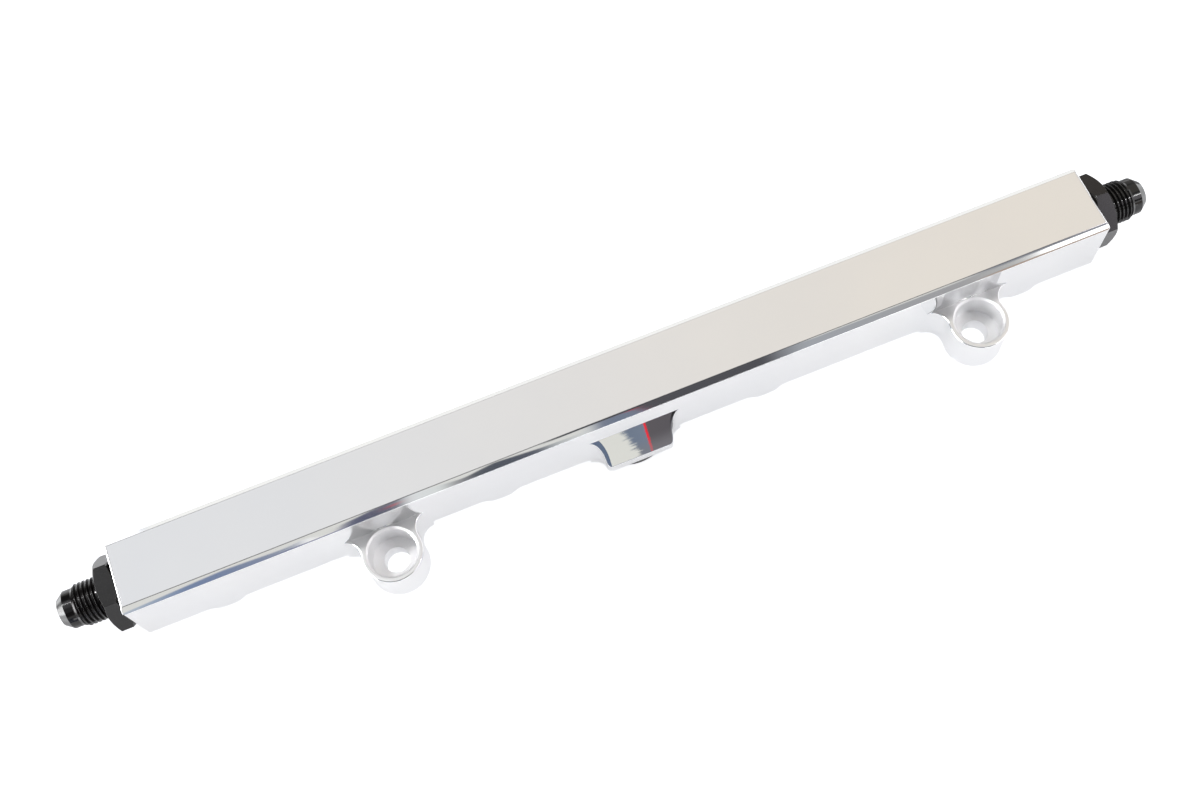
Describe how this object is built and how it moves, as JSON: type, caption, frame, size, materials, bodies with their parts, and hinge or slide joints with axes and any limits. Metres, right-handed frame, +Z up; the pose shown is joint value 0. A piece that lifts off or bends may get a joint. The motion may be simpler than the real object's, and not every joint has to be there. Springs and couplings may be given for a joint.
{
  "type": "fuel rail",
  "caption": "Square-bar billet fuel rail with injector cups underneath, bolt ears on one side, flared hose adapters in its ends and a plugged third port.",
  "frame": {"origin": "midway between the two mounting bolts, on the plane of the mounting feet", "axes": "+X along the rail, from the left adapter to the right one; +Y from the bolt line towards the bar; +Z up, away from the injectors, the way the bolts come out"},
  "size_m": [0.3798, 0.044, 0.0316],
  "materials": {
    "polished_aluminium": "mirror polished",
    "black_anodised": "black anodised",
    "seal_rubber": "smooth"
  },
  "bodies": {
    "root": {"rail_body": "polished_aluminium", "left_adapter": "black_anodised", "right_adapter": "black_anodised", "left_adapter_o_ring": "seal_rubber", "right_adapter_o_ring": "seal_rubber", "port_plug": "black_anodised", "port_plug_o_ring": "seal_rubber"}
  },
  "joints": []
}
